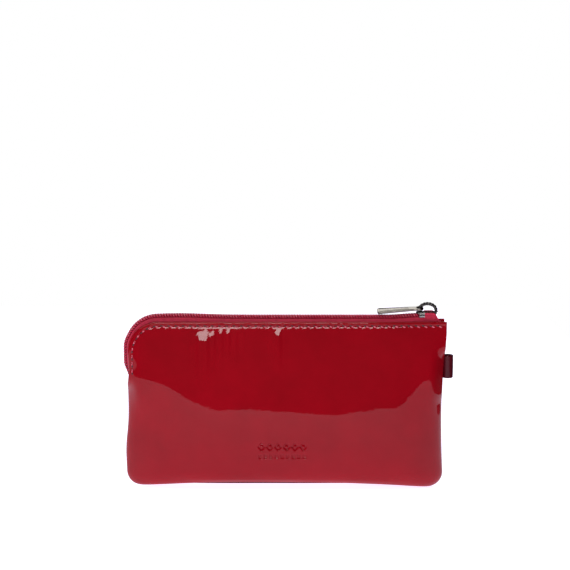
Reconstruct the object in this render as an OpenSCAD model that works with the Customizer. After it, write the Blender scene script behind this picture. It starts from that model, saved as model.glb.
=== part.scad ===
// Slim zip pouch wallet: two patent leather faces sewn round three sides, a coil zip
// along the top that turns down the left corner, and a strap loop in the right side seam.
// +X to the right, +Y to the back, +Z up. The origin is the centre of the base.

/* [Pouch] */
// Half of the pouch's width, to the side seams
half_w = 79; // [70:1:90]
// Height of the leather faces
leather_h = 84.2; // [70:0.2:90]
// Half of the pouch's depth where it is fullest
half_d = 11.5; // [9:0.5:14]
// Half of the depth of the flat base
base_half_d = 6; // [4:0.5:8]
// Thickness of the leather
leather_t = 1.3; // [1:0.1:1.6]
// Thickness of the lining cloth
lining_t = 0.5; // [0.4:0.1:0.8]

/* [Zip] */
// Height of the middle of the coil above the base
coil_z = 86.6; // [82:0.2:90]
// Radius of the zip's turn at the left corner, at the middle of the coil
turn_r = 15.5; // [14:0.5:18]
// Distance from one turn of the coil to the next
coil_pitch = 1.34; // [1.2:0.02:1.6]
// Half of the closed coil's width
coil_half_w = 2.35; // [2:0.05:2.6]
// Thickness of the coil
coil_t = 1.5; // [1.3:0.1:1.6]

/* [Slider] */
// Length of the slider
slider_len = 10.4; // [9:0.2:12]
// Half of the slider's width
slider_half_w = 3.5; // [3.2:0.1:4]
// Outside width of the arched bail on the slider
bail_w = 9.8; // [9:0.1:10]
// Thickness of the bail's wire
bail_wire = 1.2; // [1:0.1:1.3]
// Length of the pull tab
tab_len = 21.5; // [18:0.5:26]

/* [Loop] */
// Width of the strap that makes the loop
strap_w = 11.5; // [9:0.5:14]
// Thickness of the strap
strap_t = 1.1; // [0.9:0.1:1.2]
// Height of the loop's middle above the base
loop_z = 61.2; // [55:0.1:62]

/* [Hidden] */

seam_gap = 0.06;           // between the two faces' edges where the seam joins them
top_half_d = 5.6;          // half depth at the leather's top edge
full_z = 31;               // height at which the faces reach their full depth
base_corner_r = 8;         // rounding of the two bottom corners
side_pull = 1.4;           // how far the filled pouch draws its side seams in
crown_w = 46;              // distance from a side seam to the full depth
crown_power = 2.2;         // roundness of that crown

zip_x = -(half_w - 0.7);   // middle of the coil where it runs down the left side
turn_x = zip_x + turn_r;
turn_z = coil_z - turn_r;
zip_right = 76.9;          // where the tapes end at the right
zip_left_z = 58.3;         // how far down the left side the zip runs
panel_turn_r = turn_r;

fold_right = [64, coil_z]; // the fold line of the open mouth, from the slider to the zip's left end
fold_left = [-half_w, 58];
fold_slope = (fold_right[1] - fold_left[1]) / (fold_right[0] - fold_left[0]);
flap_gap = 1.6;            // room for the flaps to fold out

slider_x = 69.4;           // middle of the closed slider
plate_t = 0.8;
chan_half_w = coil_half_w + 0.25;
chan_half_t = coil_t / 2 + 0.2;
slot_half_t = 0.45;
plate_top = coil_z + chan_half_t + plate_t;

bail_r = (bail_w - bail_wire) / 2;
bail_x = 69.9;             // middle of the bail
bail_z = plate_top + 0.55;
eye_rise = 15;             // how far up the bail the tab's eye lies, as an angle at the bail's middle
tab_droop = 3.8;           // the tab's far end rests lower by this angle
tab_roll = 12;             // the tab lies rolled towards the front by this angle

function clamp01(t) = min(1, max(0, t));
function smooth(t) = let (c = clamp01(t)) c * c * (3 - 2 * c);
function fold_z(x) = fold_left[1] + (x - fold_left[0]) * fold_slope;

// Depth profile up the middle, from the base to the top edge
function mid_depth(z, off) = z < full_z
    ? (base_half_d + (half_d - base_half_d) * pow(1 - pow(1 - z / full_z, 2.2), 0.6)) - off
    : half_d - (half_d - top_half_d) * smooth((z - full_z) / (leather_h + 8 - full_z)) * 1.03 - off;

// Half depth that the left edge keeps open for the zip, and the right edge for the strap and the zip
mouth_open = 5.5;
strap_gap = strap_t + 0.3;
function left_open(z, off) = max(0, mouth_open * smooth((z - 49) / 8) - off);
function right_open(z, off) = max(strap_gap * smooth((z - 43) / 5), mouth_open * smooth((z - 63) / 9) - off);

// Side outlines: distance of each side edge from the middle at a height
function side_base(z, off) = let (r = base_corner_r, b = max(0, r - z))
    (half_w - off) - side_pull * sin(180 * clamp01(z / 78)) - (r - sqrt(max(0, r * r - b * b)));
function right_edge(z, off) = side_base(z, off);
function left_edge(z, off) = let (c = leather_h - panel_turn_r, b = max(0, z - c), r = panel_turn_r)
    side_base(z, off) - 1.3 * smooth((z - 50) / 12) - (r - sqrt(max(0, r * r - b * b)));

// A point of the front face's surface, off inwards from the outside. The lining's left edge is
// inset where it runs beside the zip's tape.
function face_point(s, z, off, inset = 0) =
    let (xl = left_edge(z, off) - inset * smooth((z - 45) / 5), xr = right_edge(z, off),
        x = -xl + (xl + xr) * s,
        left = x < 0,
        d = left ? x + xl : xr - x,
        open = left ? left_open(z, off) : right_open(z, off),
        crown = pow(1 - pow(1 - clamp01(d / crown_w), crown_power), 0.58),
        y = open + (mid_depth(z, off) - open) * crown)
    [x, -max(seam_gap, y), z];

// Spacing that crowds the ends of a 0 to 1 range
function crowd(t) = (1 - cos(180 * t)) / 2 * 0.6 + t * 0.4;

// Closed shell between two surfaces given as rows of points
module shell(outer, inner) {
    rows = len(outer);
    cols = len(outer[0]);
    n = rows * cols;
    points = concat([for (r = outer) each r], [for (r = inner) each r]);
    o = function (i, j) i * cols + j;
    skin = [for (i = [0:rows - 2]) for (j = [0:cols - 2])
        each [[o(i, j), o(i + 1, j), o(i + 1, j + 1)], [o(i, j), o(i + 1, j + 1), o(i, j + 1)]]];
    back = [for (f = skin) [f[2] + n, f[1] + n, f[0] + n]];
    rim = concat(
        [for (j = [0:cols - 2]) [o(0, j), o(0, j + 1)]],
        [for (i = [0:rows - 2]) [o(i, cols - 1), o(i + 1, cols - 1)]],
        [for (j = [cols - 2:-1:0]) [o(rows - 1, j + 1), o(rows - 1, j)]],
        [for (i = [rows - 2:-1:0]) [o(i + 1, 0), o(i, 0)]]);
    wall = [for (e = rim) each [[e[0], e[1], e[1] + n], [e[0], e[1] + n, e[0] + n]]];
    polyhedron(points, concat(skin, back, wall));
}

// Rows of a face from the base's middle seam up to a top given for each column
function lower_rows(off, cols, rows, top, inset) = concat(
    [for (k = [0, 0.5]) [for (j = [0:cols]) let (p = face_point(crowd(j / cols), off, off))
        [p[0], -max(seam_gap, -p[1] * k), off]]],
    [for (i = [0:rows]) [for (j = [0:cols])
        let (s = crowd(j / cols),
            guess = face_point(s, 60, off, inset)[0],
            up = min(top, fold_z(guess)),
            z = off + (up - off) * pow(i / rows, 1.25))
        face_point(s, z, off, inset)]]);

// Rows of the flap above the fold line, from the left edge to a share of the way across
function flap_rows(off, cols, rows, top, inset, share) =
    [for (i = [0:rows]) [for (j = [0:cols])
        let (s = share * crowd(j / cols),
            guess = face_point(s, 70, off, inset)[0],
            low = fold_z(guess) + flap_gap,
            z = low + (max(top, low + 0.9) - low) * i / rows)
        face_point(s, z, off, inset)]];

module lower_face(off, t, cols, rows, top, inset = 0) {
    shell(lower_rows(off, cols, rows, top, inset), lower_rows(off + t, cols, rows, top, inset));
}

module upper_face(off, t, cols, rows, top, share, inset = 0) {
    shell(flap_rows(off, cols, rows, top, inset, share), flap_rows(off + t, cols, rows, top, inset, share));
}

module to_back() { mirror([0, 1, 0]) children(); }

module front_panel() { color("crimson") lower_face(0, leather_t, 30, 16, leather_h); }
module back_panel() { to_back() front_panel(); }
module front_flap() { color("firebrick") upper_face(0, leather_t, 26, 7, leather_h, 0.655); }
module back_flap() { to_back() front_flap(); }

lining_off = 2.3;
lining_top = 74;
lining_inset = 6.4;
module front_lining() { color("maroon") lower_face(lining_off, lining_t, 20, 11, lining_top, lining_inset); }
module back_lining() { to_back() front_lining(); }
module front_flap_lining() { color("maroon") upper_face(lining_off, lining_t, 18, 4, lining_top, 0.5, lining_inset); }
module back_flap_lining() { to_back() front_flap_lining(); }

// Card pocket: a patch sewn to the back lining
pocket_low = 16;
pocket_top = 54;
pocket_off = lining_off + lining_t + 0.5;
function pocket_rows(off) = [for (i = [0:8]) [for (j = [0:10])
    face_point(0.2 + 0.6 * j / 10, pocket_low + (pocket_top - pocket_low) * i / 8, off)]];
module slip_pocket() {
    color("darkred") to_back() shell(pocket_rows(pocket_off), pocket_rows(pocket_off + lining_t));
}

// Strap folded into a loop, its two ends sewn into the right side seam
module wrist_loop() {
    tail_x = 75.9;
    bow_x = 80.3;
    bow_r = 2.7;
    neck_x = 78.6;
    color("darkred") translate([0, 0, loop_z - strap_w / 2]) linear_extrude(strap_w) {
        difference() {
            union() {
                translate([bow_x, 0]) circle(bow_r, $fn = 48);
                polygon([[neck_x, -strap_t], [bow_x, -bow_r], [bow_x, bow_r], [neck_x, strap_t]]);
                translate([tail_x, -strap_t]) square([neck_x - tail_x, 2 * strap_t]);
            }
            translate([bow_x, 0]) circle(bow_r - strap_t, $fn = 48);
            polygon([[neck_x + 0.5, -0.1], [bow_x, strap_t - bow_r], [bow_x, bow_r - strap_t],
                [neck_x + 0.5, 0.1]]);
        }
    }
}

// The zip's route: along the top, round the left corner and down the left side
straight_len = zip_right - turn_x;
arc_len = turn_r * PI / 2;
side_len = turn_z - zip_left_z;
zip_len = straight_len + arc_len + side_len;
function zip_place(s) = s < straight_len ? [zip_right - s, coil_z, 0]
    : s < straight_len + arc_len ? let (a = (s - straight_len) / turn_r * 180 / PI)
        [turn_x - turn_r * sin(a), turn_z + turn_r * cos(a), a]
    : [zip_x, turn_z - (s - straight_len - arc_len), 90];
// Point at a distance along the zip, n outwards from its middle and y to the back
function zip_point(s, y, n) = let (p = zip_place(s)) [p[0] - n * sin(p[2]), y, p[1] + n * cos(p[2])];
module at_zip(s) {
    p = zip_place(s);
    translate([p[0], 0, p[1]]) rotate([0, -p[2], 0]) children();
}

// Woven tape: flat beside the coil, then turned down inside the leather's edge
tape_t = 0.5;
tape_line = [[coil_half_w + 0.06, 0], [3.6, -0.02], [3.8, -2.4], [3.65, -6.2]];
tape_stops = concat([for (k = [0:8]) straight_len * k / 8], [for (k = [1:10]) straight_len + arc_len * k / 10],
    [for (k = [1:3]) straight_len + arc_len + side_len * k / 3]);
function tape_rows(side, lift) = [for (s = tape_stops) [for (p = tape_line)
    let (tilt = p[1] < -1 ? 1 : 0)
    zip_point(s, side * (p[0] + (tilt ? lift : 0)), p[1] + (tilt ? 0 : lift))]];
module zip_tape_back() { color("indianred") shell(tape_rows(1, tape_t / 2), tape_rows(1, -tape_t / 2)); }
module zip_tape_front() { color("indianred") to_back() zip_tape_back(); }

// Turns of the coil on one side; the two sides mesh half a pitch apart
coil_end_x = 71.2;         // where the meshed coil ends, inside the slider
coil_start = zip_right - coil_end_x;
coil_turns = floor((zip_len - coil_start - 1) / coil_pitch);
turn_w = 0.58;
module coil_turn(side) {
    reach = 0.55;
    outer = side * coil_half_w;
    inner = -side * reach;
    c = 0.4;
    t = coil_t / 2;
    lo = min(outer, inner);
    hi = max(outer, inner);
    rotate([90, 0, 90]) linear_extrude(turn_w, center = true)
        polygon([[lo + c, -t], [hi - c, -t], [hi, c - t], [hi, t - c], [hi - c, t], [lo + c, t],
            [lo, t - c], [lo, c - t]]);
}
module coil(side) {
    for (k = [0:coil_turns - 1]) at_zip(coil_start + (k + (side > 0 ? 0.5 : 0)) * coil_pitch) coil_turn(side);
}
module zip_coil_front() { color("firebrick") coil(-1); }
module zip_coil_back() { color("firebrick") coil(1); }

// Top stitching round the mouth: a thread bar for each stitch, lying on the leather
stitch_pitch = 3.55;
stitch_len = 2.6;
thread_r = 0.22;
stitch_in = 2.1;           // distance of the stitching from the leather's edge
stitch_z = leather_h - stitch_in;
function stitch_x(z) = -left_edge(z, 0) + stitch_in * 0.85;
module thread_bar(a, b) {
    v = b - a;
    translate(a) rotate([0, acos(v[2] / norm(v)), atan2(v[1], v[0])]) cylinder(h = norm(v), r = thread_r, $fn = 16);
}
function on_face(x, z) = let (xl = left_edge(z, 0), xr = right_edge(z, 0))
    face_point((x + xl) / (xl + xr), z, 0) - [0, thread_r + 0.08, 0];
corner_r = panel_turn_r - stitch_in;
corner_x = stitch_x(60) + corner_r;
corner_z = stitch_z - corner_r;
function stitch_place(s) = let (flat = 76.5 - corner_x, bend = corner_r * PI / 2)
    s < flat ? [76.5 - s, stitch_z]
    : s < flat + bend ? let (a = (s - flat) / corner_r * 180 / PI)
        [corner_x - corner_r * sin(a), corner_z + corner_r * cos(a)]
    : let (z = corner_z - (s - flat - bend)) [corner_x - corner_r, z];
stitch_count = floor((76.5 - corner_x + corner_r * PI / 2 + corner_z - 55) / stitch_pitch);
module front_stitching() {
    color("maroon") for (k = [0:stitch_count - 1]) {
        p = stitch_place(k * stitch_pitch);
        q = stitch_place(k * stitch_pitch + stitch_len);
        thread_bar(on_face(p[0], p[1]), on_face(q[0], q[1]));
    }
}
module back_stitching() { color("maroon") to_back() front_stitching(); }

// Folded metal stops at the ends of the tapes
module top_stop_back() {
    color("dimgray") translate([zip_right - 0.9, 0.95, coil_z - 0.6]) difference() {
        cube([1.1, 1.35, 1.2]);
        translate([-0.5, 0.65, 0.35]) cube([2.2, 1, 0.5]);
    }
}
module top_stop_front() { to_back() top_stop_back(); }
module bottom_stop() {
    color("dimgray") translate([zip_x - 1.05, -2.2, zip_left_z - 1.4]) difference() {
        cube([2.1, 4.4, 1.5]);
        translate([0.7, -0.5, -0.5]) cube([0.7, 5.4, 1.6]);
    }
}

// Slider: two plates held apart by the wedge in the nose, with side flanges and a bridge
module plate_outline() {
    l = slider_len / 2;
    w = slider_half_w;
    polygon([[-l, -w + 1], [-l + 1, -w + 0.3], [0, -w], [l - 1.2, -w], [l, -w + 1.2],
        [l, w - 1.2], [l - 1.2, w], [0, w], [-l + 1, w - 0.3], [-l, w - 1]]);
}
module slider_half() {
    flange_w = slider_half_w - chan_half_w;
    translate([0, 0, chan_half_t]) linear_extrude(plate_t) plate_outline();
    for (side = [-1, 1]) translate([0, side * (chan_half_w + flange_w / 2 - 0.1), (slot_half_t + chan_half_t + 0.2) / 2])
        cube([slider_len - 2.6, flange_w - 0.2, chan_half_t - slot_half_t + 0.2], center = true);
}
module slider_body() {
    wedge = [2.6, 1.8];
    wedge_x = 2.2;
    color("silver") translate([slider_x, 0, coil_z]) {
        slider_half();
        mirror([0, 0, 1]) slider_half();
        translate([wedge_x, -wedge[1] / 2, -chan_half_t - 0.1]) cube([wedge[0], wedge[1], 2 * chan_half_t + 0.2]);
    }
}

// Arch of round wire along the slider's top, standing on a foot at each end
module slider_bail() {
    foot = [1.7, 2];
    foot_t = 0.35;
    sink = 0.02;
    color("dimgray") {
        translate([bail_x, 0, bail_z]) rotate([90, 0, 0]) rotate_extrude(angle = 180, $fn = 96)
            translate([bail_r, 0]) circle(bail_wire / 2, $fn = 32);
        for (side = [-1, 1]) translate([bail_x + side * bail_r, 0, plate_top + sink]) {
            cylinder(h = bail_z - plate_top - sink, r = bail_wire / 2, $fn = 32);
            translate([-foot[0] / 2, -foot[1] / 2, 0]) cube([foot[0], foot[1], foot_t]);
        }
    }
}

// Tapered tab whose eye runs on the bail
module pull_tab() {
    eye_r = 1.3;
    end_r = 2.2;
    neck_half_w = 1.6;
    far_half_w = 3;
    tab_t = 1.1;
    end = -tab_len;
    color("silver")
        translate([bail_x - bail_r * cos(eye_rise), 0, bail_z + bail_r * sin(eye_rise)])
        rotate([0, -tab_droop, 0]) rotate([tab_roll, 0, 0])
        translate([0, 0, -tab_t / 2]) linear_extrude(tab_t) difference() {
            union() {
                circle(end_r, $fn = 48);
                polygon([[0, -neck_half_w], [0, neck_half_w], [end + 1.5, far_half_w], [end + 0.5, far_half_w - 0.3],
                    [end, far_half_w - 1], [end, 1 - far_half_w], [end + 0.5, 0.3 - far_half_w],
                    [end + 1.5, -far_half_w]]);
            }
            circle(eye_r, $fn = 48);
        }
}

front_panel();
front_flap();
back_panel();
back_flap();
front_lining();
front_flap_lining();
back_lining();
back_flap_lining();
slip_pocket();
wrist_loop();
zip_tape_front();
zip_tape_back();
zip_coil_front();
zip_coil_back();
front_stitching();
back_stitching();
top_stop_front();
top_stop_back();
bottom_stop();
slider_body();
slider_bail();
pull_tab();
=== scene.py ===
"""Slim zip pouch wallet in patent leather, standing on a pale table.

Lengths are millimetres, turned to metres where a mesh is made; lamps and camera are in metres.
+X is to the right, +Y to the back and +Z up, with the origin at the centre of the base.
"""
import math

import bpy
import numpy as np
from mathutils import Matrix, Vector


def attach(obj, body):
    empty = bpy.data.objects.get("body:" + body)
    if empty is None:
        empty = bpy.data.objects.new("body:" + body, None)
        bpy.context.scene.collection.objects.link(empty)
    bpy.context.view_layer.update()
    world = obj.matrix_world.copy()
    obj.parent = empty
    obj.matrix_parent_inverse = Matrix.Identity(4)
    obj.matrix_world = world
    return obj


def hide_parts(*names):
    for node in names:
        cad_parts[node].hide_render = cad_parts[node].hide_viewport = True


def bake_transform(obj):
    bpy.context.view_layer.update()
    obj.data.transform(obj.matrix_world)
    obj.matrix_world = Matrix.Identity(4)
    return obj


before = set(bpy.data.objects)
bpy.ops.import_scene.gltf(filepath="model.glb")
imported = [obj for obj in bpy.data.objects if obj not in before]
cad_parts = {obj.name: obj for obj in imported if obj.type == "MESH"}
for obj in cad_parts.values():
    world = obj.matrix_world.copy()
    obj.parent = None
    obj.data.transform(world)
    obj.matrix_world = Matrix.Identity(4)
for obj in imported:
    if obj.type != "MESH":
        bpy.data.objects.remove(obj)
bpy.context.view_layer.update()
MM = 0.001

# Pouch
HALF_W = 79.0
LEATHER_H = 84.2
HALF_D = 11.5
BASE_HALF_D = 6.0
TOP_HALF_D = 5.6
FULL_Z = 31.0
LEATHER_T = 1.3
SEAM_GAP = 0.01
BASE_CORNER_R = 8.0
SIDE_PULL = 1.4
CROWN_W = 46.0
CROWN_POWER = 2.2
MOUTH_OPEN = 5.5
STRAP_T = 1.1
STRAP_GAP = STRAP_T + 0.3

# Zip
COIL_Z = 86.6
TURN_R = 15.5  # the top left corner, of the coil and of the leather
COIL_PITCH = 1.34
COIL_HALF_W = 2.35
COIL_T = 1.5
ZIP_X = -(HALF_W - 0.7)
TURN_X = ZIP_X + TURN_R
TURN_Z = COIL_Z - TURN_R
ZIP_RIGHT = 76.9
ZIP_LEFT_Z = 58.3
SEAM_TAIL = 3.0  # coil that runs on into the side seam
TAPE_TAIL = 4.6  # tape that runs on past the coil
ZIP_STRAIGHT = ZIP_RIGHT - TURN_X
ZIP_ARC = TURN_R * math.pi / 2
ZIP_LEN = ZIP_STRAIGHT + ZIP_ARC + TURN_Z - ZIP_LEFT_Z + SEAM_TAIL

# Stitching round the mouth
STITCH_PITCH = 3.55
STITCH_LEN = 2.6
STITCH_IN = 2.1
STITCH_RIGHT = 76.5
STITCH_LEFT_Z = 55.0
THREAD_R = 0.34


# ---------------------------------------------------------------- shape of the faces

def clamp(t):
    return np.clip(t, 0.0, 1.0)


def smooth(t):
    c = clamp(t)
    return c * c * (3 - 2 * c)


def mid_depth(z, off):
    """Half depth up the middle of a face."""
    low = BASE_HALF_D + (HALF_D - BASE_HALF_D) * (1 - (1 - clamp(z / FULL_Z)) ** 2.2) ** 0.6
    lean = smooth((z - FULL_Z) / (LEATHER_H + 8 - FULL_Z)) * 1.03
    return np.where(z < FULL_Z, low, HALF_D - (HALF_D - TOP_HALF_D) * lean) - off


def left_open(z, off):
    """Half depth that the left edge keeps open for the zip."""
    return np.maximum(0, MOUTH_OPEN * smooth((z - 49) / 8) - off)


def right_open(z, off):
    """Half depth that the right edge keeps open for the strap and the zip."""
    strap = STRAP_GAP * smooth((z - 43) / 5)
    return np.maximum(strap, MOUTH_OPEN * smooth((z - 63) / 9) - off)


def right_edge(z, off):
    """How far the right side stands from the middle at a height."""
    r = BASE_CORNER_R
    b = np.maximum(0, r - z)
    drawn_in = SIDE_PULL * np.sin(math.pi * clamp(z / 78))
    return (HALF_W - off) - drawn_in - (r - np.sqrt(np.maximum(0, r * r - b * b)))


def left_edge(z, off):
    """How far the left side stands from the middle, with its turn and a fuller lower part."""
    r = TURN_R
    b = np.maximum(0, z - (LEATHER_H - r))
    turn = r - np.sqrt(np.maximum(0, r * r - b * b))
    filled = 1.1 * np.exp(-((z - 20) / 11) ** 2) * smooth(z / 8)
    return right_edge(z, off) + filled - 1.3 * smooth((z - 50) / 12) - turn


# Middle of the leather's rounded corner, and the stitching's line round it
CORNER_X = TURN_R - float(left_edge(60.0, 0))
CORNER_Z = LEATHER_H - TURN_R
STITCH_R = TURN_R - STITCH_IN
STITCH_STRAIGHT = STITCH_RIGHT - CORNER_X
STITCH_ARC = STITCH_R * math.pi / 2


def depth(x, z, off):
    """How far a face stands in front of the middle plane."""
    left = x < 0
    d = np.where(left, x + left_edge(z, off), right_edge(z, off) - x)
    at_edge = np.where(left, left_open(z, off), right_open(z, off))
    # just inside its edges the face already stands out, so that it clears the zip's tapes
    full = MOUTH_OPEN + 1.7 * smooth((82 - z) / 25)
    inside = np.maximum(0, full * smooth((z - 34) / 23) - off)
    gap = at_edge + (np.maximum(at_edge, inside) - at_edge) * smooth(d / 7)
    crown_w = np.where(left, CROWN_W, CROWN_W - 18 * smooth(x / 20))
    crown = (1 - (1 - clamp(d / crown_w)) ** CROWN_POWER) ** 0.58
    return np.maximum(SEAM_GAP, gap + (mid_depth(z, off) - gap) * crown)


def face_x(s, z, off):
    """Place across a face, from 0 at the left edge to 1 at the right, turned to x."""
    left = left_edge(z, off)
    return -left + (left + right_edge(z, off)) * s


def mouth_distance(x, z):
    """Distance from the leather's free edge along the top and down the left side."""
    round_corner = TURN_R - np.hypot(x - CORNER_X, z - CORNER_Z)
    side = x + left_edge(z, 0) + 40 * smooth((54 - z) / 3)
    far = np.where(x < CORNER_X, side, 99.0)
    return np.where((x < CORNER_X) & (z > CORNER_Z), round_corner, np.minimum(LEATHER_H - z, far))


def mouth_run(x, z):
    """Length along the stitching, from its right end."""
    angle = np.arctan2(np.maximum(0, CORNER_X - x), np.maximum(1e-6, z - CORNER_Z))
    below = STITCH_STRAIGHT + STITCH_ARC + np.maximum(0, CORNER_Z - z)
    turning = np.where(z > CORNER_Z, STITCH_STRAIGHT + STITCH_R * angle, below)
    return np.where(x > CORNER_X, STITCH_RIGHT - x, turning)


# ---------------------------------------------------------------- meshes

def make_object(name, points, faces, uvs=None):
    mesh = bpy.data.meshes.new(name)
    mesh.from_pydata((np.asarray(points, float).reshape(-1, 3) * MM).tolist(), [], faces)
    mesh.validate()
    mesh.update()
    if uvs is not None:
        layer = mesh.uv_layers.new(name="lay")
        index = np.empty(len(mesh.loops), dtype=np.int64)
        mesh.loops.foreach_get("vertex_index", index)
        layer.data.foreach_set("uv", np.asarray(uvs, float).reshape(-1, 2)[index].ravel())
    mesh.polygons.foreach_set("use_smooth", [True] * len(mesh.polygons))
    piece = bpy.data.objects.new(name, mesh)
    bpy.context.collection.objects.link(piece)
    return piece


def grid_faces(rows, cols, start=0, flip=False, closed=False):
    """Quads of a grid of points, its columns joined round if closed."""
    faces = []
    for i in range(rows - 1):
        for j in range(cols if closed else cols - 1):
            k = (j + 1) % cols
            quad = [start + i * cols + j, start + (i + 1) * cols + j,
                    start + (i + 1) * cols + k, start + i * cols + k]
            faces.append(quad[::-1] if flip else quad)
    return faces


def shell(name, outer, inner, uvs=None):
    """A closed skin between two grids of points."""
    rows, cols = outer.shape[:2]
    n = rows * cols
    faces = grid_faces(rows, cols) + grid_faces(rows, cols, n, flip=True)
    rim = list(range(cols))
    rim += [i * cols + cols - 1 for i in range(1, rows)]
    rim += [(rows - 1) * cols + j for j in range(cols - 2, -1, -1)]
    rim += [i * cols for i in range(rows - 2, 0, -1)]
    for a, b in zip(rim, rim[1:] + rim[:1]):
        faces.append([a, b, b + n, a + n])
    both = None if uvs is None else np.concatenate([uvs.reshape(-1, 2)] * 2)
    points = np.concatenate([outer.reshape(-1, 3), inner.reshape(-1, 3)])
    return make_object(name, points, faces, both)


def sweep(name, tubes):
    """Closed tubes, each given as its rings of points."""
    points, faces = [], []
    count = 0
    for rings in tubes:
        rings = np.asarray(rings, float)
        rows, cols = rings.shape[:2]
        points.append(rings.reshape(-1, 3))
        faces += grid_faces(rows, cols, count, closed=True)
        faces.append([count + j for j in range(cols)])
        faces.append([count + (rows - 1) * cols + j for j in range(cols - 1, -1, -1)])
        count += rows * cols
    return make_object(name, np.concatenate(points), faces)


def rings_along(path, radius, sides, up):
    """Rings of points round a path, each across the path's own direction.

    The radius is one number, a number for each ring, or a number for each point.
    """
    path = np.asarray(path, float)
    ahead = np.gradient(path, axis=0)
    ahead /= np.linalg.norm(ahead, axis=1)[:, None]
    side = np.cross(ahead, np.asarray(up, float))
    side /= np.maximum(1e-9, np.linalg.norm(side, axis=1))[:, None]
    top = np.cross(side, ahead)
    angle = np.linspace(0, 2 * math.pi, sides, endpoint=False)
    r = np.asarray(radius, float)
    r = np.broadcast_to(r if r.ndim == 2 else r.reshape(-1, 1), (len(path), sides))
    sideways = side[:, None, :] * (r * np.cos(angle))[..., None]
    upwards = top[:, None, :] * (r * np.sin(angle))[..., None]
    return path[:, None, :] + sideways + upwards


def to_back(points):
    """The same points on the other side of the pouch."""
    turned = np.array(points, float)
    turned[..., 1] *= -1
    return turned[:, ::-1] if turned.ndim == 3 else turned


def apply_modifiers(piece):
    """Makes a piece's modified shape its own."""
    graph = bpy.context.evaluated_depsgraph_get()
    mesh = bpy.data.meshes.new_from_object(piece.evaluated_get(graph))
    piece.modifiers.clear()
    piece.data = mesh


def bevelled(piece, width):
    """Rounds a piece's sharp edges."""
    bevel = piece.modifiers.new("round", "BEVEL")
    bevel.width = width * MM
    bevel.segments = 3
    bevel.limit_method = "ANGLE"
    bevel.angle_limit = math.radians(35)
    bevel.harden_normals = False
    apply_modifiers(piece)
    piece.data.polygons.foreach_set("use_smooth", [True] * len(piece.data.polygons))
    return piece


def prism(name, outline, low, high, hole=None):
    """An outline in x and y, raised from low to high, with a round hole if asked."""
    outline = np.asarray(outline, float)
    n = len(outline)
    points = [(x, y, low) for x, y in outline] + [(x, y, high) for x, y in outline]
    if hole is None:
        faces = [list(range(n - 1, -1, -1)), list(range(n, 2 * n))]
        faces += [[i, (i + 1) % n, (i + 1) % n + n, i + n] for i in range(n)]
        return make_object(name, points, faces)
    x0, y0, r = hole
    angle = np.arctan2(outline[:, 1] - y0, outline[:, 0] - x0)
    ring = np.stack([x0 + r * np.cos(angle), y0 + r * np.sin(angle)], axis=1)
    points += [(x, y, low) for x, y in ring] + [(x, y, high) for x, y in ring]
    faces = []
    for i in range(n):
        k = (i + 1) % n
        faces += [[i, k, k + n, i + n], [i + n, k + n, k + 3 * n, i + 3 * n],
                  [k, i, i + 2 * n, k + 2 * n], [k + 2 * n, i + 2 * n, i + 3 * n, k + 3 * n]]
    return make_object(name, points, faces)


def joined(name, pieces):
    """Several meshes made one object."""
    points, faces, count = [], [], 0
    for piece in pieces:
        mesh = piece.data
        place = np.array(piece.matrix_world, float)
        v = np.empty(len(mesh.vertices) * 3)
        mesh.vertices.foreach_get("co", v)
        v = v.reshape(-1, 3) @ place[:3, :3].T + place[:3, 3]
        points.append(v / MM)
        faces += [[count + i for i in p.vertices] for p in mesh.polygons]
        count += len(v)
        bpy.data.objects.remove(piece)
    return make_object(name, np.concatenate(points), faces)


# ---------------------------------------------------------------- materials

def linear(code):
    """An sRGB hex colour as linear red, green, blue and alpha."""
    parts = [int(code[i:i + 2], 16) / 255 for i in (1, 3, 5)]
    return [p / 12.92 if p <= 0.04045 else ((p + 0.055) / 1.055) ** 2.4 for p in parts] + [1.0]


def add(tree, kind, values=(), links=(), **settings):
    """A node with its settings, its sockets' values and what feeds them."""
    node = tree.nodes.new(kind)
    for name, value in settings.items():
        setattr(node, name, value)
    for socket, value in dict(values).items():
        node.inputs[socket].default_value = value
    for socket, source in dict(links).items():
        tree.links.new(source, node.inputs[socket])
    return node


def material(name):
    made = bpy.data.materials.new(name)
    made.use_nodes = True
    tree = made.node_tree
    tree.nodes.clear()
    return made, tree


def finish_material(tree, surface):
    add(tree, "ShaderNodeOutputMaterial", links={"Surface": surface.outputs[0]})


def ramp(tree, source, stops):
    """Colours at places from 0 to 1, blended between."""
    node = add(tree, "ShaderNodeValToRGB", links={"Fac": source})
    elements = node.color_ramp.elements
    for element, (place, colour) in zip(elements, stops):
        element.position = place
        element.color = linear(colour)
    return node


def bump(tree, height, strength, depth_mm):
    """The normal of a surface that a height raises."""
    values = {"Strength": strength, "Distance": depth_mm * MM}
    return add(tree, "ShaderNodeBump", values, {"Height": height}).outputs["Normal"]


def math_node(tree, kind, a, b):
    """One arithmetic node on two sockets, or on a socket and a number."""
    if isinstance(b, float):
        return add(tree, "ShaderNodeMath", {1: b}, {0: a}, operation=kind).outputs[0]
    return add(tree, "ShaderNodeMath", links={0: a, 1: b}, operation=kind).outputs[0]


def wave(tree, place, pitch_mm):
    """A sine that repeats at a pitch."""
    turned = math_node(tree, "MULTIPLY", place, 2 * math.pi / pitch_mm)
    return add(tree, "ShaderNodeMath", links={0: turned}, operation="SINE").outputs[0]


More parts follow.
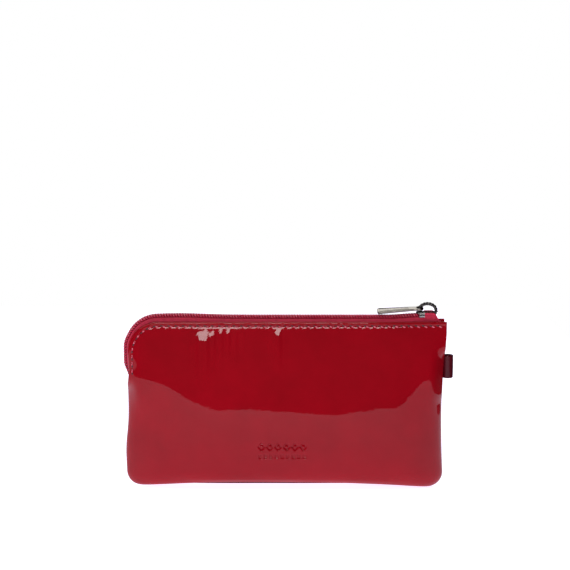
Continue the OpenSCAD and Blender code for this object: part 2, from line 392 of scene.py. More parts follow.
def patent_leather(name, deep, bright, coat_roughness=0.03):
    """Split leather under a poured lacquer: a deep, even colour below a mirror-like coat."""
    made, tree = material(name)
    place = add(tree, "ShaderNodeTexCoord").outputs["Object"]
    blotch = add(tree, "ShaderNodeTexNoise", {"Scale": 55.0, "Detail": 3.0, "Roughness": 0.6},
                 {"Vector": place})
    colour = ramp(tree, blotch.outputs["Fac"], [(0.3, deep), (0.72, bright)])
    # lacquer's orange peel, about 3 mm from crest to crest
    peel = add(tree, "ShaderNodeTexNoise", {"Scale": 330.0, "Detail": 1.0, "Roughness": 0.4},
               {"Vector": place})
    # grain under the lacquer, drawn 0.6 mm wide so that it shows
    grain = add(tree, "ShaderNodeTexVoronoi", {"Scale": 1600.0}, {"Vector": place}, feature="SMOOTH_F1")
    under = bump(tree, grain.outputs["Distance"], 0.12, 0.04)
    over = bump(tree, peel.outputs["Fac"], 0.16, 0.12)
    surface = add(
        tree, "ShaderNodeBsdfPrincipled",
        {"Roughness": 0.5, "IOR": 1.45, "Specular IOR Level": 0.04, "Coat Weight": 1.0,
         "Coat Roughness": coat_roughness, "Coat IOR": 1.27},
        {"Base Color": colour.outputs["Color"], "Normal": under, "Coat Normal": over})
    finish_material(tree, surface)
    return made


HERRINGBONE_ROW = 2.4  # width of one row of slanting threads, in mm


def woven(name, deep, bright, thread_mm, roughness, sheen, herringbone=False):
    """Plain woven cloth, or herringbone tape: rows of threads that pass over and under."""
    made, tree = material(name)
    lay = add(tree, "ShaderNodeUVMap", uv_map="lay").outputs["UV"]
    split = add(tree, "ShaderNodeSeparateXYZ", links={"Vector": lay})
    along, across = split.outputs["X"], split.outputs["Y"]
    if herringbone:
        along = math_node(tree, "ADD", along, math_node(tree, "PINGPONG", across, HERRINGBONE_ROW))
    warp = wave(tree, along, thread_mm)
    weft = wave(tree, across, thread_mm)
    if herringbone:
        height = math_node(tree, "ADD", warp, math_node(tree, "MULTIPLY", weft, 0.35))
    else:
        height = math_node(tree, "MULTIPLY", warp, weft)
    level = add(tree, "ShaderNodeMapRange", {"From Min": -1.2, "From Max": 1.2}, {"Value": height})
    place = add(tree, "ShaderNodeTexCoord").outputs["Object"]
    slub = add(tree, "ShaderNodeTexNoise", {"Scale": 700.0, "Detail": 3.0}, {"Vector": place})
    # the colour is painted lighter on the raised threads and darker in the hollows between them, a
    # painted highlight and shade of the weave, times a random slub tone
    shade = add(tree, "ShaderNodeMath", {2: 0.25}, {0: level.outputs["Result"], 1: slub.outputs["Fac"]},
                operation="MULTIPLY_ADD")
    colour = ramp(tree, shade.outputs[0], [(0.34, deep), (0.66, bright)])
    raised = bump(tree, level.outputs["Result"], 0.7, 0.1)
    surface = add(
        tree, "ShaderNodeBsdfPrincipled",
        {"Roughness": roughness, "IOR": 1.5, "Specular IOR Level": 0.3, "Sheen Weight": sheen,
         "Sheen Roughness": 0.4, "Sheen Tint": linear("#e86a7c")},
        {"Base Color": colour.outputs["Color"], "Normal": raised})
    finish_material(tree, surface)
    return made


def nylon(name, deep, bright):
    """Drawn nylon filament: smooth and a little waxy, with a clear highlight."""
    made, tree = material(name)
    place = add(tree, "ShaderNodeTexCoord").outputs["Object"]
    tint = add(tree, "ShaderNodeTexNoise", {"Scale": 900.0, "Detail": 2.0}, {"Vector": place})
    colour = ramp(tree, tint.outputs["Fac"], [(0.3, deep), (0.7, bright)])
    raised = bump(tree, tint.outputs["Fac"], 0.2, 0.02)
    surface = add(
        tree, "ShaderNodeBsdfPrincipled",
        {"Roughness": 0.2, "IOR": 1.55, "Subsurface Weight": 0.04, "Subsurface Scale": 0.4 * MM},
        {"Base Color": colour.outputs["Color"], "Normal": raised})
    finish_material(tree, surface)
    return made


def plated(name, colour_low, colour_high, low, high):
    """Plated die-cast zinc, tumbled bright: fine scratches and a few duller patches.

    Low and high are the roughness of the brightest and of the dullest patches.
    """
    made, tree = material(name)
    place = add(tree, "ShaderNodeTexCoord").outputs["Object"]
    patches = add(tree, "ShaderNodeTexNoise", {"Scale": 700.0, "Detail": 4.0}, {"Vector": place})
    colour = ramp(tree, patches.outputs["Fac"], [(0.35, colour_low), (0.65, colour_high)])
    rough = add(tree, "ShaderNodeMapRange", {"To Min": low, "To Max": high},
                {"Value": patches.outputs["Fac"]})
    stretch = add(tree, "ShaderNodeMapping", {"Scale": (400.0, 6000.0, 6000.0)}, {"Vector": place})
    scratch = add(tree, "ShaderNodeTexNoise", {"Scale": 1.0, "Detail": 2.0},
                  {"Vector": stretch.outputs["Vector"]})
    raised = bump(tree, scratch.outputs["Fac"], 0.15, 0.01)
    surface = add(
        tree, "ShaderNodeBsdfPrincipled", {"Metallic": 1.0},
        {"Base Color": colour.outputs["Color"], "Roughness": rough.outputs["Result"], "Normal": raised})
    finish_material(tree, surface)
    return made


def thread(name, deep, bright):
    """Waxed polyester thread: plies whose twist shows as slanting ridges."""
    made, tree = material(name)
    place = add(tree, "ShaderNodeTexCoord").outputs["Object"]
    # a ridge every 1.8 mm along a level thread
    plies = add(tree, "ShaderNodeTexWave", {"Scale": 350.0, "Distortion": 0.3}, {"Vector": place},
                wave_type="BANDS", bands_direction="DIAGONAL")
    # the colour is painted lighter on the ply ridges and darker between them: a painted highlight and
    # shade of the twist
    colour = ramp(tree, plies.outputs["Fac"], [(0.1, deep), (0.8, bright)])
    raised = bump(tree, plies.outputs["Fac"], 0.5, 0.06)
    surface = add(
        tree, "ShaderNodeBsdfPrincipled",
        {"Roughness": 0.35, "IOR": 1.5, "Sheen Weight": 0.2, "Sheen Roughness": 0.3,
         "Sheen Tint": linear("#f08090")},
        {"Base Color": colour.outputs["Color"], "Normal": raised})
    finish_material(tree, surface)
    return made


LEATHER = patent_leather("patent_leather", "#8b000f", "#970012")
STRAP = patent_leather("strap_leather", "#420610", "#520916", coat_roughness=0.2)
# in the woven finishes the lighter colour is painted on raised threads as highlight and the darker in
# their hollows as shade
TAPE = woven("herringbone_tape", "#90102a", "#d83050", 0.9, 0.75, 0.06, herringbone=True)
LINING = woven("lining_cloth", "#4a0a16", "#5e1220", 0.9, 0.7, 0.15)
COIL = nylon("coil_nylon", "#b41638", "#cc2a4c")
# the lighter colour is painted on the thread's ply ridges as highlight, the darker between them as
# shade
THREAD = thread("waxed_thread", "#a01c34", "#e06a7c")
# near-black thread colour: painted shade of the needle holes, not the thread's own colour
HOLE_SHADE = thread("thread_in_shadow", "#1c0208", "#3c0812")
# near-black core cord: its colour is painted shade in the gaps between the coil's turns
COIL_GAP_SHADE = woven("coil_core_painted_gap_shade", "#24020a", "#38060f", 0.6, 0.9, 0.0)
NICKEL = plated("bright_nickel", "#6e6b69", "#888582", 0.08, 0.18)
GUNMETAL = plated("gunmetal", "#3e3c3c", "#565350", 0.1, 0.2)
CLIP = plated("lacquered_clip", "#5a0816", "#6c0c1c", 0.25, 0.4)
TAB_METAL = plated("gunmetal_nickel", "#625d55", "#7b756b", 0.14, 0.26)


def dress(piece, finish, slot, *nodes):
    """Gives a piece its finish and hides the imported parts that it stands for. The slot is not used.
    """
    piece.data.materials.clear()
    piece.data.materials.append(finish)
    if nodes:
        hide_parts(*nodes)
    return piece


def fold_with(piece):
    """Bakes a piece's placement into its mesh."""
    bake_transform(piece)


# ---------------------------------------------------------------- leather faces

def spread(stops):
    """Places from stops of (start, step), each stretch running to the next start."""
    places = []
    for (start, step), (end, _) in zip(stops, stops[1:]):
        count = max(1, round((end - start) / step))
        places += list(np.linspace(start, end, count, endpoint=False))
    return np.array(places + [stops[-1][0]])


MOTIF_X = (-13.5, 11.0)
MOTIF_Z = (16.4, 25.4)
MARK_STEP = 0.38  # finer grid under the mark
MARK_DEPTH = 0.55


def face_columns():
    """Places across a face, from 0 to 1, crowded at both edges."""
    edge = np.array([0, 0.06, 0.2, 0.42, 0.72, 1.1, 1.6, 2.2, 3.0])
    middle = spread([(4 - HALF_W, 0.95), (MOTIF_X[0] - 1, MARK_STEP), (MOTIF_X[1] + 1, 0.95),
                     (HALF_W - 4, 1)])
    x = np.concatenate([edge - HALF_W, middle, (HALF_W - edge)[::-1]])
    return (x + HALF_W) / (2 * HALF_W)


def face_heights():
    """Heights of a face's rows, crowded at the base and at the rounded corner."""
    base = np.array([0, 0.03, 0.1, 0.22, 0.4, 0.7, 1.1, 1.6, 2.3, 3.1])
    middle = spread([(4, 1.15), (MOTIF_Z[0] - 1, MARK_STEP), (MOTIF_Z[1] + 1, 1.15), (CORNER_Z, 1)])
    turn = CORNER_Z + TURN_R * np.sin(np.linspace(0, math.pi / 2, 24)[1:])
    return np.concatenate([base, middle, turn])


def motif(x, z):
    """Depth of the generic pressed mark: a row of lozenges above a row of short bars."""
    inside = ((x > MOTIF_X[0]) & (x < MOTIF_X[1])).astype(float)
    lozenges, bars = 6, 9
    pitch = (MOTIF_X[1] - MOTIF_X[0]) / lozenges
    u = np.abs((x - MOTIF_X[0]) % pitch - pitch / 2) / (pitch / 2)
    v = np.abs(z - (MOTIF_Z[1] - 2.4)) / 2.5
    lozenge = smooth((0.98 - (u + v)) / 0.16) * smooth((u + v - 0.28) / 0.16)
    pitch = (MOTIF_X[1] - MOTIF_X[0]) / bars
    u = np.abs((x - MOTIF_X[0]) % pitch - pitch / 2)
    v = np.abs(z - (MOTIF_Z[0] + 1.5))
    bar = smooth((pitch / 2 - 0.35 - u) / 0.3) * smooth((1.2 - v) / 0.3)
    return np.maximum(lozenge, bar) * inside


# Puckers below the stitches: middle in x, half width, height, reach down the face, and how much
# of the height comes and goes with the stitches
PUCKERS = ((-40.0, 4.8, 0.98, 7.6, 0.15), (-3.5, 3.2, 0.68, 4.8, 0.15), (-29.0, 6.5, 0.62, 3.8, 0.55))


def mouth_relief(x, z, near_mouth):
    """The groove that the stitches pull, and the puckers below it."""
    beat = np.cos(2 * math.pi * (mouth_run(x, z) - STITCH_LEN / 2) / STITCH_PITCH)
    groove = -0.07 * smooth((STITCH_IN + 1.6 - near_mouth) / 1.6)
    groove -= 0.22 * np.exp(-((near_mouth - STITCH_IN) / 0.5) ** 2) * (0.6 - 0.4 * beat)
    below = near_mouth - STITCH_IN - 0.6
    pulled = 0
    for middle, half_width, height, reach, share in PUCKERS:
        bulge = smooth(below / reach) * np.exp(-(np.maximum(0, below - reach) / (2.4 * reach)) ** 2)
        across = np.exp(-((x - middle) / half_width) ** 2)
        pulled = pulled + height * across * bulge * (1 - share + share * beat)
    return groove + pulled * smooth((x + 72) / 12)


def relief(x, z, front):
    """What stands out of or into the plain face: stitch and seam puckers, soft dents and the mark."""
    side = 1 if front else -1
    near_mouth = mouth_distance(x, z)
    near_side = np.minimum(x + left_edge(z, 0), right_edge(z, 0) - x)
    fade = np.exp(-np.maximum(0, near_side) / 7.0) * clamp(near_side / 1.2)
    fade *= smooth((z - 3) / 8) * smooth((74 - z) / 8)
    seam = 0.05 * fade * np.sin(2 * math.pi * z / 11.3 + 1.9 * np.sin(z / 9.0) + side)
    soft = 0.15 * np.sin(x / 17.0 + 0.6 * side) * np.sin(z / 15.0 + 0.4)
    soft += 0.08 * np.sin(x / 6.5 + z / 21.0 + 2.0 * side) * np.sin(z / 9.0 - x / 40.0)
    soft *= smooth(near_side / 16) * smooth(z / 14) * smooth(near_mouth / 14)
    low = 0.1 * np.sin(x / 7.1 + 2.2 * np.sin(x / 23.0) + side) * np.exp(-((z - 3.5) / 3.5) ** 2)
    low *= smooth(near_side / 12)
    mark = -MARK_DEPTH * motif(x, z) if front else 0
    return mouth_relief(x, z, near_mouth) + seam + soft + low + mark


def bow(x, z):
    """The base arches a little off the table between its two corners."""
    rise = 2.4 * (1 - clamp(np.abs(x + 2) / 74) ** 2.2) + 0.6 * smooth((20 - x) / 90)
    return rise * np.exp(-np.maximum(0, z) / 8.0)


def face_normals(x, z, surface_depth):
    """Outward directions of a face, from its slopes a small step away."""
    step, steepest = 0.05, 2.5
    inwards = np.where(x < 0, step, -step)
    here = surface_depth(x, z)
    slope_x = np.clip((surface_depth(x + inwards, z) - here) / inwards, -steepest, steepest)
    slope_z = np.clip((surface_depth(x, z + step) - here) / step, -steepest, steepest)
    slope_z[-1] = slope_z[-2]
    normal = np.stack([-slope_x, -np.ones_like(x), -slope_z], axis=2)
    return normal / np.linalg.norm(normal, axis=2)[..., None]


def base_rows(first_row, rise):
    """Rows that carry a face under its base to the middle seam."""
    rows = []
    for share in (0.0, 0.2, 0.5, 0.8):
        row = first_row.copy()
        row[:, 1] = np.minimum(row[:, 1] * share, -SEAM_GAP)
        row[:, 2] += rise * (1 - share) ** 2
        rows.append(row)
    return np.array(rows)


def leather_face(name, front):
    """One face of leather, its free edge rounded and its lower end turned in under the base."""

    def surface_depth(px, pz):
        return depth(px, np.maximum(pz, 0), 0) + relief(px, pz, front)

    z, s = np.meshgrid(face_heights(), face_columns(), indexing="ij")
    x = face_x(s, z, 0)
    normal = face_normals(x, z, surface_depth)
    half = LEATHER_T / 2
    near = np.clip(mouth_distance(x, z), 0, half)
    swell = np.sqrt(np.maximum(0, half ** 2 - (half - near) ** 2))[..., None]
    middle = np.stack([x, -surface_depth(x, z), z], axis=2) - normal * half
    outer = middle + normal * swell
    inner = middle - normal * swell
    for skin in (outer, inner):
        skin[..., 1] = np.minimum(skin[..., 1], -SEAM_GAP)
    inner[..., 2] = np.maximum(inner[..., 2], LEATHER_T * 0.9)
    outer = np.concatenate([base_rows(outer[0], 0.5), outer])
    inner = np.concatenate([base_rows(inner[0], 0.0), inner])
    for skin in (outer, inner):
        round_under = 1.7 * clamp(-skin[..., 1] / 7) ** 2 * np.exp(-np.maximum(0, skin[..., 2]) / 6.0)
        skin[..., 2] += bow(skin[..., 0], skin[..., 2]) + round_under
    if not front:
        outer, inner = to_back(outer), to_back(inner)
    return shell(name, outer, inner)


def make_leather():
    for side, front in (("front", True), ("back", False)):
        face = leather_face(f"{side}_leather_face", front)
        dress(face, LEATHER, "patent_leather", f"{side}_panel", f"{side}_flap")
        fold_with(face)


# ---------------------------------------------------------------- lining and card pocket

LINING_OFF = 2.3
LINING_T = 0.5
CLOTH_W = 150.0  # width over which the cloth's threads are counted


def cloth_rows(off, s, heights):
    """A layer of cloth inside the front face, with a faint ripple."""
    z, s = np.meshgrid(heights, s, indexing="ij")
    x = face_x(s, z, off)
    ripple = 0.12 * np.sin(x / 5.3) * np.sin(z / 7.1)
    return np.stack([x, -np.maximum(0.15, depth(x, z, off) + ripple), z], axis=2)


def make_linings():
    s = np.linspace(0.004, 0.996, 110)
    heights = spread([(3.2, 1.5), (76.0, 1)])
    lay = np.stack(np.meshgrid(s * CLOTH_W, heights, indexing="xy"), axis=2)
    for side in ("front", "back"):
        outer = cloth_rows(LINING_OFF, s, heights)
        inner = cloth_rows(LINING_OFF + LINING_T, s, heights)
        if side == "back":
            outer, inner = to_back(outer), to_back(inner)
        lining = shell(f"{side}_lining_cloth", outer, inner, lay)
        dress(lining, LINING, "lining_cloth", f"{side}_lining", f"{side}_flap_lining")
        fold_with(lining)


def make_pocket():
    """A patch of lining cloth with a turned hem, sewn to the back lining."""
    s = np.linspace(0.2, 0.8, 70)
    heights = spread([(16, 1.3), (50, 0.5), (54, 1)])
    hem = 0.35 * smooth((heights - 50.6) / 0.5) * smooth((54.6 - heights) / 0.6)
    outer = to_back(cloth_rows(LINING_OFF + LINING_T + 0.3, s, heights))
    inner = outer.copy()
    inner[..., 1] -= (LINING_T * 0.8 + hem)[:, None]
    lay = np.stack(np.meshgrid(s * CLOTH_W, heights, indexing="xy"), axis=2)
    pocket = shell("card_pocket", outer, inner, lay)
    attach(dress(pocket, LINING, "lining_cloth", "slip_pocket"), "pouch")


# ---------------------------------------------------------------- zip

def zip_frame(run):
    """Place and outward direction of the zip's middle at a length from its right end."""
    run = np.asarray(run, float)
    angle = clamp((run - ZIP_STRAIGHT) / ZIP_ARC) * math.pi / 2
    x = TURN_X - TURN_R * np.sin(angle) + np.maximum(0, ZIP_STRAIGHT - run)
    z = TURN_Z + TURN_R * np.cos(angle) - np.maximum(0, run - ZIP_STRAIGHT - ZIP_ARC)
    return x, z, -np.sin(angle), np.cos(angle)


def zip_points(run, y, out):
    """Points beside the zip: y to the back and out away from the pouch.

    The zip humps before its turn, sags along the top, drops into the seam at both ends, parts a
    little at the right and draws together at the left, where the leather closes.
    """
    x, z, out_x, out_z = zip_frame(run)
    hump = 0.7 * np.exp(-((x + 52) / 17.0) ** 2) * smooth((z - TURN_Z) / 10)
    sag = 0.8 * smooth((66 - x) / 16) * smooth((z - TURN_Z) / 8)
    drop_right = 4.8 * smooth((x - 72.6) / 4.0)
    drop_left = 2.2 * smooth((ZIP_LEFT_Z + 5.5 - z) / 8)
    out = out + hump - sag - (drop_right + drop_left)
    apart = 0.35 * smooth((x - 71.5) / 4) * np.sign(y)
    narrow = np.clip((left_open(z, 0) - 1.2) / 4.1, 0.12, 1)
    across = np.broadcast_to((y + apart) * narrow, x.shape)
    return np.stack([x + out_x * out, across, z + out_z * out], axis=-1)


TAPE_T = 0.4


def tape_line():
    """Section of one tape: flat under the coil, then turned down inside the leather."""
    u = np.linspace(0, 1, 24)
    turn = clamp((u - 0.32) / 0.68)
    y = 0.5 + 3.15 * smooth(u / 0.5) + 0.15 * np.sin(math.pi * turn)
    out = -0.72 - 6.5 * turn ** 1.4
    return y, out


def tape_layer(run, mirror, lift):
    """One side of a tape's thickness. Beside the slider the tape stands clear of its plates."""
    y, out = tape_line()
    slope_y, slope_out = np.gradient(y), np.gradient(out)
    size = np.hypot(slope_y, slope_out)
    y = y - slope_out / size * lift
    out = out + slope_y / size * lift
    flare = smooth((ZIP_RIGHT - run - 67.4) / 1.3)
    rows = []
    for u, row_y, row_out in zip(np.linspace(0, 1, len(y)), y, out):
        stand_y = 3.85 - 0.6 * smooth(u / 0.35) + lift
        stand_out = 1.9 - 9.1 * u
        beside_y = stand_y + (row_y - stand_y) * (1 - flare)
        beside_out = stand_out + (row_out - stand_out) * (1 - flare)
        rows.append(zip_points(run, mirror * beside_y, beside_out))
    return np.stack(rows, axis=1)


def make_tapes():
    run = spread([(0, 0.7), (6, 2.2), (ZIP_STRAIGHT, 1.2), (ZIP_LEN + TAPE_TAIL, 1)])
    y, out = tape_line()
    length = np.concatenate([[0], np.cumsum(np.hypot(np.diff(y), np.diff(out)))])
    lay = np.stack(np.meshgrid(run, length, indexing="ij"), axis=2)
    for side, mirror in (("front", -1), ("back", 1)):
        over = tape_layer(run, mirror, TAPE_T / 2)
        under = tape_layer(run, mirror, -TAPE_T / 2)
        if mirror > 0:
            tape = shell(f"{side}_zip_tape", over[:, ::-1], under[:, ::-1], lay[:, ::-1])
        else:
            tape = shell(f"{side}_zip_tape", under, over, lay)
        dress(tape, TAPE, "zip_tape", f"zip_tape_{side}")
        fold_with(tape)


COIL_START = 1.4  # how far from the zip's right end the coil begins
COIL_WIRE_R = 0.42
COIL_HEAD = 0.62  # how far each turn's head reaches past the middle
CORE_R = 0.66


def make_coils():
    """Each side is one filament wound into a flattened helix; the two mesh half a turn apart."""
    turns = int((ZIP_LEN - COIL_START - 0.5) / COIL_PITCH)
    per_turn = 14
    back_y = COIL_HALF_W - COIL_WIRE_R
    for side, mirror, shift in (("front", -1, 0.0), ("back", 1, 0.5)):
        phase = np.linspace(0, turns, turns * per_turn + 1)
        angle = 2 * math.pi * phase
        y = back_y - (back_y + COIL_HEAD) * (0.5 * (1 - np.cos(angle))) ** 0.8
        lift = np.sign(np.sin(angle)) * np.abs(np.sin(angle)) ** 0.6
        out = 0.15 + (COIL_T / 2 - COIL_WIRE_R + 0.38) * lift
        run = COIL_START + (phase + shift) * COIL_PITCH + 0.22 * COIL_PITCH * np.sin(2 * angle)
        path = zip_points(run, mirror * (y + 0.001), out)
        coil = sweep(f"{side}_zip_coil", [rings_along(path, COIL_WIRE_R, 7, (0.3, 1, 0.2))])
        dress(coil, COIL, "zip_coil", f"zip_coil_{side}")
        fold_with(coil)
        # a core cord inside each coil, near-black as painted shade in the gaps between the turns
        core_run = spread([(COIL_START + 1, 1.2), (ZIP_LEN - 0.8, 1)])
        core_path = zip_points(core_run, np.full_like(core_run, mirror * 0.95), 0.0)
        core = sweep(f"{side}_coil_core", [rings_along(core_path, CORE_R, 8, (0, 1, 0))])
        dress(core, COIL_GAP_SHADE, "zip_coil")
        fold_with(core)


def stitch_point(run):
    """x and z of a point on the stitching round the mouth, at a length from its right end."""
    angle = clamp((run - STITCH_STRAIGHT) / STITCH_R / (math.pi / 2)) * math.pi / 2
    x = CORNER_X - STITCH_R * np.sin(angle) + np.maximum(0, STITCH_STRAIGHT - run)
    z = CORNER_Z + STITCH_R * np.cos(angle) - np.maximum(0, run - STITCH_STRAIGHT - STITCH_ARC)
    return x, z


def thread_rings(start, share, radius, lift, shift, front):
    """A short piece of thread on a face, slanted, with its ends pulled in."""
    u = np.linspace(0, 1, 9)
    x, z = stitch_point(start + STITCH_LEN * share * u)
    y = depth(x, z, 0) + relief(x, z, front) + radius * lift - 0.3 * (2 * u - 1) ** 6
    z = z + (0.42 * (u - 0.5) + shift) * smooth((x + 68) / 10)
    path = np.stack([x, -y if front else y, z], axis=1)
    return rings_along(path, radius * (1 - 0.3 * (2 * u - 1) ** 4), 7, (0, 1, 0.01))


def make_stitching():
    """Bright stitches, and between them sunk near-black thread: painted shade where the thread goes
    into the needle holes.
    """
    total = STITCH_STRAIGHT + STITCH_ARC + CORNER_Z - STITCH_LEFT_Z
    starts = [k * STITCH_PITCH for k in range(int(total / STITCH_PITCH))]
    for side, front in (("front", True), ("back", False)):
        tubes = [thread_rings(start, 0.5, THREAD_R * 1.15, 0.7, -0.24, front) for start in starts]
        # near-black sunk pieces between the stitches: painted shade of the needle holes
        sunk = [thread_rings(start + STITCH_LEN * 0.4, 0.62, THREAD_R, -0.2, 0.16, front)
                for start in starts]
        hole_shade_pieces = sweep(f"{side}_needle_hole_shade", sunk)
        dress(hole_shade_pieces, HOLE_SHADE, "thread")
        fold_with(hole_shade_pieces)
        stitches = sweep(f"{side}_mouth_stitches", tubes)
        dress(stitches, THREAD, "thread", f"{side}_stitching")
        fold_with(stitches)


# ---------------------------------------------------------------- stops, slider, bail and tab

SLIDER_X = 69.4
SLIDER_LEN = 10.4
SLIDER_HALF_W = 3.5
PLATE_T = 0.8
CHAN_HALF_W = COIL_HALF_W + 0.25
CHAN_HALF_T = COIL_T / 2 + 0.2
PLATE_TOP = COIL_Z + CHAN_HALF_T + PLATE_T
LOWER_PLATE = (-1.85, -1.1)  # its under and upper side, from the coil's middle
LOWER_PLATE_W = 0.86  # its width, as a share of the upper plate's


def move(piece, x, z):
    piece.data.transform(Matrix.Translation((x * MM, 0, z * MM)))


def slider_outline():
    """A waisted boat shape: round at the tail, broad where the zip parts in the nose."""
    half_len = SLIDER_LEN / 2
    t = np.linspace(0, 1, 24)
    x = half_len * np.cos(math.pi * t)
    half_w = SLIDER_HALF_W * (1 - np.abs(np.cos(math.pi * t)) ** 7) ** 0.5
    half_w *= 0.9 + 0.1 * smooth((x + half_len) / half_len)
    back = np.stack([x, half_w], axis=1)
    front = np.stack([x[::-1], -half_w[::-1]], axis=1)
    return np.concatenate([back, front[1:-1]])


def make_slider():
    """Two plates joined by a wedge in the nose, with a flange along each side of the channel."""
    reach = SLIDER_LEN / 2 - 1.5
    plates = ((1, 1.0, CHAN_HALF_T, CHAN_HALF_T + PLATE_T), (-1, LOWER_PLATE_W, *LOWER_PLATE))
    pieces = []
    for sign, share, low, high in plates:
        outline = slider_outline() * (1.0, share)
        pieces.append(bevelled(prism(f"plate{sign}", outline, low, high), 0.26))
        a, b = sorted((sign * (CHAN_HALF_W + 0.1), sign * (SLIDER_HALF_W - 0.1)))
        outline = [(-reach, a), (reach, a), (reach, b), (-reach, b)]
        pieces.append(bevelled(prism(f"flange{sign}", outline, -0.55, CHAN_HALF_T + 0.15), 0.16))
    wedge = [(1.0, 0), (1.5, -0.7), (3.2, -1), (4.6, -0.8), (4.9, 0), (4.6, 0.8), (3.2, 1), (1.5, 0.7)]
    pieces.append(bevelled(prism("wedge", wedge, -CHAN_HALF_T - 0.1, CHAN_HALF_T + 0.1), 0.15))
    body = joined("zip_slider", pieces)
    move(body, SLIDER_X, COIL_Z)
    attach(dress(body, NICKEL, "slider_metal", "slider_body"), "slider")


BAIL_R = 4.25
BAIL_RISE = 3.5
BAIL_WIRE = 1.55
BAIL_X = 69.9
BAIL_Z = PLATE_TOP + 0.55
BAIL_LEG = 0.5
BAIL_TWIST = 2.7  # length of one turn of the two wires


def make_bail():
    """Two wires twisted together and bent into an arch, on a small foot at each end."""
    angle = np.linspace(0, math.pi, 120)
    leg = np.linspace(BAIL_LEG, 0, 6)[:-1]
    beside = np.full(len(leg), BAIL_R)
    x = np.concatenate([beside, BAIL_R * np.cos(angle), -beside])
    z = np.concatenate([-leg, BAIL_RISE * np.sin(angle), -leg[::-1]])
    path = np.stack([BAIL_X + x, np.zeros_like(x), BAIL_Z + z], axis=1)
    run = np.concatenate([[0], np.cumsum(np.linalg.norm(np.diff(path, axis=0), axis=1))])
    around = np.linspace(0, 2 * math.pi, 18, endpoint=False)
    twist = around[None, :] - 2 * math.pi * run[:, None] / BAIL_TWIST
    radius = BAIL_WIRE / 2 * (0.72 + 0.4 * np.abs(np.cos(twist)) ** 0.7)
    arch = sweep("arch", [rings_along(path, radius, len(around), (0, 1, 0))])
    feet = []
    for side in (1, -1):
        outline = [(math.cos(a) * 1.0 + side * BAIL_R + BAIL_X, math.sin(a) * 1.05)
                   for a in np.linspace(0, 2 * math.pi, 20, endpoint=False)]
        feet.append(bevelled(prism(f"foot{side}", outline, PLATE_TOP, PLATE_TOP + 0.42), 0.14))
    bail = joined("slider_arch", [arch, *feet])
    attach(dress(bail, GUNMETAL, "bail_metal", "slider_bail"), "slider")


TAB_LEN = 20.7
TAB_T = 1.1
TAB_ROLL = 12
TAB_DROOP = 3.8
TAB_EYE_R = 1.3
EYE_RISE = 15  # how far up the arch the eye lies, in degrees


def make_tab():
    """A tapered tab, its eye on the arch, with a raised panel on each broad face."""
    end = -TAB_LEN
    head = [(2.2 * math.cos(a), 2.2 * math.sin(a)) for a in np.linspace(-2.25, 2.25, 28)]
    body = [(-3.2, 1.72), (end + 1.6, 3.0), (end + 0.75, 2.86), (end + 0.2, 2.4), (end, 1.7)]
    outline = head + body + [(x, -w) for x, w in reversed(body)]
    half_t = TAB_T / 2
    made = bevelled(prism("tab", outline, -half_t, half_t, hole=(0.0, 0.0, TAB_EYE_R)), 0.22)
    panel = [(-5.0, 1.0), (end + 1.5, 1.9), (end + 1.0, 1.5)]
    panel += [(x, -w) for x, w in reversed(panel)]
    plate = bevelled(prism("panel", panel, -half_t - 0.1, half_t + 0.1), 0.09)
    tab = joined("pull_tab_plate", [made, plate])
    rise = math.radians(EYE_RISE)
    eye = Vector((BAIL_X - BAIL_R * math.cos(rise), 0, BAIL_Z + BAIL_R * math.sin(rise))) * MM
    droop = Matrix.Rotation(math.radians(-TAB_DROOP), 4, "Y")
    roll = Matrix.Rotation(math.radians(TAB_ROLL), 4, "X")
    tab.data.transform(Matrix.Translation(eye) @ (droop @ roll))
    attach(dress(tab, TAB_METAL, "tab_metal", "pull_tab"), "tab")


def make_stops():
    """Small folded clips that end the zip."""
    for side, mirror in (("front", -1), ("back", 1)):
        u = np.linspace(-1, 1, 15)
        y = 1.4 + 0.72 * u ** 2
        z = COIL_Z - 2.4 + 0.5 * np.sin(u * math.pi / 2)
        path = np.stack([np.full_like(u, ZIP_RIGHT - 2.2), mirror * y, z], axis=1)
        clip = sweep(f"{side}_top_clip", [rings_along(path, 0.32, 10, (1, 0, 0))])
        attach(dress(clip, CLIP, "slider_metal", f"top_stop_{side}"), "pouch")
    outline = [(-1.05, -2.1), (1.05, -2.1), (1.05, 2.1), (-1.05, 2.1)]
    clip = bevelled(prism("bottom_clip", outline, -0.75, 0.7), 0.3)
    move(clip, ZIP_X + 3.0, ZIP_LEFT_Z - 2.2)
    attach(dress(clip, COIL, "zip_coil", "bottom_stop"), "pouch")


# ---------------------------------------------------------------- strap loop

LOOP_Z = 61.2
LOOP_W = 11.5
LOOP_X = 80.3  # middle of its rounded end
LOOP_R = 2.7
TAIL_X = 75.9  # how far into the seam its ends reach


def loop_line():
    """The strap's middle line seen from above: out of the seam, round and back."""
    angle = np.linspace(-2.2, 2.2, 40)
    radius = LOOP_R - STRAP_T / 2
    x = LOOP_X + radius * np.cos(angle)
    y = radius * np.sin(angle)
    flat_y = STRAP_T / 2 + 0.02
    tail_x = TAIL_X + (x[0] - TAIL_X) * np.linspace(0, 1, 8)[:-1]
    tail_y = -flat_y + (y[0] + flat_y) * smooth((tail_x - 77.9) / (x[0] - 77.9))
    x = np.concatenate([tail_x, x, tail_x[::-1]])
    y = np.concatenate([tail_y, y, -tail_y[::-1]])
    return x, y


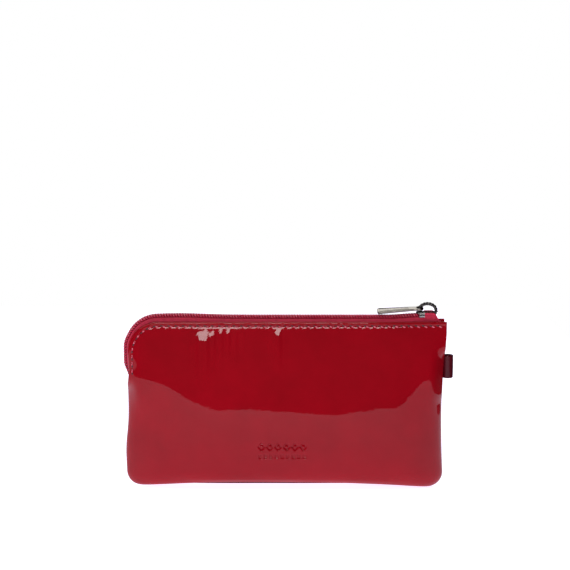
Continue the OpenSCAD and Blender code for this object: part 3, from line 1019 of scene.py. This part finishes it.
def make_loop():
    """A narrow strap folded on itself, its ends sewn into the right side seam."""
    x, y = loop_line()
    ahead = np.gradient(np.stack([x, y], axis=1), axis=0)
    ahead /= np.linalg.norm(ahead, axis=1)[:, None]
    across = np.stack([ahead[:, 1], -ahead[:, 0]], axis=1)
    edge = np.array([0, 0.1, 0.3, 0.6])
    v = np.concatenate([edge, np.linspace(1, LOOP_W - 1, 14), LOOP_W - edge[::-1]])
    from_edge = np.minimum(v, LOOP_W - v)
    half = STRAP_T / 2
    swell = np.sqrt(np.maximum(0, half ** 2 - (half - np.minimum(from_edge, half)) ** 2))
    groove = 0.09 * np.exp(-((from_edge - 1.3) / 0.35) ** 2)
    layers = []
    for sign in (1, -1):
        lift = sign * (swell - groove)
        px = x[:, None] + across[:, 0:1] * lift[None, :]
        py = y[:, None] + across[:, 1:2] * lift[None, :]
        pz = np.broadcast_to(LOOP_Z - LOOP_W / 2 + v[None, :], px.shape)
        layers.append(np.stack([px, py, pz], axis=2)[:, ::-1])
    loop = shell("side_strap_loop", *layers)
    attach(dress(loop, STRAP, "strap_leather", "wrist_loop"), "pouch")


# ---------------------------------------------------------------- studio

def make_table():
    """A pale table top with a glow of its own, which stands for the lit sweep of a studio."""
    half, middle_x = 550, -330
    points = [(middle_x - half, -half, 0), (middle_x + half, -half, 0),
              (middle_x + half, half, 0), (middle_x - half, half, 0)]
    table = make_object("table_top", points, [[0, 1, 2, 3]])
    made, tree = material("table_top_paint")
    surface = add(tree, "ShaderNodeBsdfPrincipled",
                  {"Base Color": linear("#dcdcdc"), "Roughness": 0.6, "Specular IOR Level": 0.1,
                   "Emission Color": linear("#ece4ff"), "Emission Strength": 1.08})
    finish_material(tree, surface)
    table.data.materials.append(made)


def softbox(name, location, aim, size, power):
    """A rectangular white lamp. Its places and sizes are metres."""
    data = bpy.data.lights.new(name, "AREA")
    data.shape = "RECTANGLE"
    data.size, data.size_y = size
    data.energy = power
    lamp = bpy.data.objects.new(name, data)
    bpy.context.collection.objects.link(lamp)
    lamp.location = location
    lamp.rotation_euler = (Vector(aim) - Vector(location)).to_track_quat("-Z", "Y").to_euler()


def make_room():
    """White where the camera looks past the table, and nearly dark for every other ray."""
    world = bpy.data.worlds.new("studio_air")
    bpy.context.scene.world = world
    world.use_nodes = True
    tree = world.node_tree
    tree.nodes.clear()
    seen = add(tree, "ShaderNodeLightPath").outputs["Is Camera Ray"]
    room = add(tree, "ShaderNodeBackground", {"Color": linear("#ffffff"), "Strength": 0.012})
    white = add(tree, "ShaderNodeBackground", {"Color": linear("#ffffff"), "Strength": 1.0})
    mix = add(tree, "ShaderNodeMixShader", links={0: seen, 1: room.outputs[0], 2: white.outputs[0]})
    add(tree, "ShaderNodeOutputWorld", links={"Surface": mix.outputs[0]})


def make_studio():
    make_table()
    softbox("top_softbox", (-0.42, -0.15, 1.1), (-0.05, -0.1, 0.0), (1.5, 1.3), 8.4)
    softbox("front_softbox", (-0.08, -0.75, 0.32), (-0.02, 0, 0.07), (0.34, 0.12), 2.3)
    softbox("back_softbox", (0.1, 0.9, 0.8), (0, 0.1, 0.05), (1.2, 0.6), 6)
    make_room()
    bpy.context.scene.view_settings.view_transform = "Standard"


def make_camera():
    """A long lens a little above the pouch, far enough off to take in the view's width in metres."""
    lens, sensor = 90.0, 36.0
    elevation = math.radians(8.5)
    view_w = 0.2754
    far = view_w * lens / sensor
    aim = Vector((0.0, -0.009, 0.1030))
    data = bpy.data.cameras.new("camera")
    data.lens = lens
    data.sensor_width = sensor
    data.clip_start, data.clip_end = 0.01, 50.0
    camera = bpy.data.objects.new("camera", data)
    bpy.context.collection.objects.link(camera)
    camera.location = aim + Vector((0, -math.cos(elevation), math.sin(elevation))) * far
    camera.rotation_euler = (aim - camera.location).to_track_quat("-Z", "Y").to_euler()
    bpy.context.scene.camera = camera


make_camera()
make_studio()
make_leather()
make_linings()
make_pocket()
make_tapes()
make_coils()
make_stitching()
make_slider()
make_bail()
make_tab()
make_stops()
make_loop()
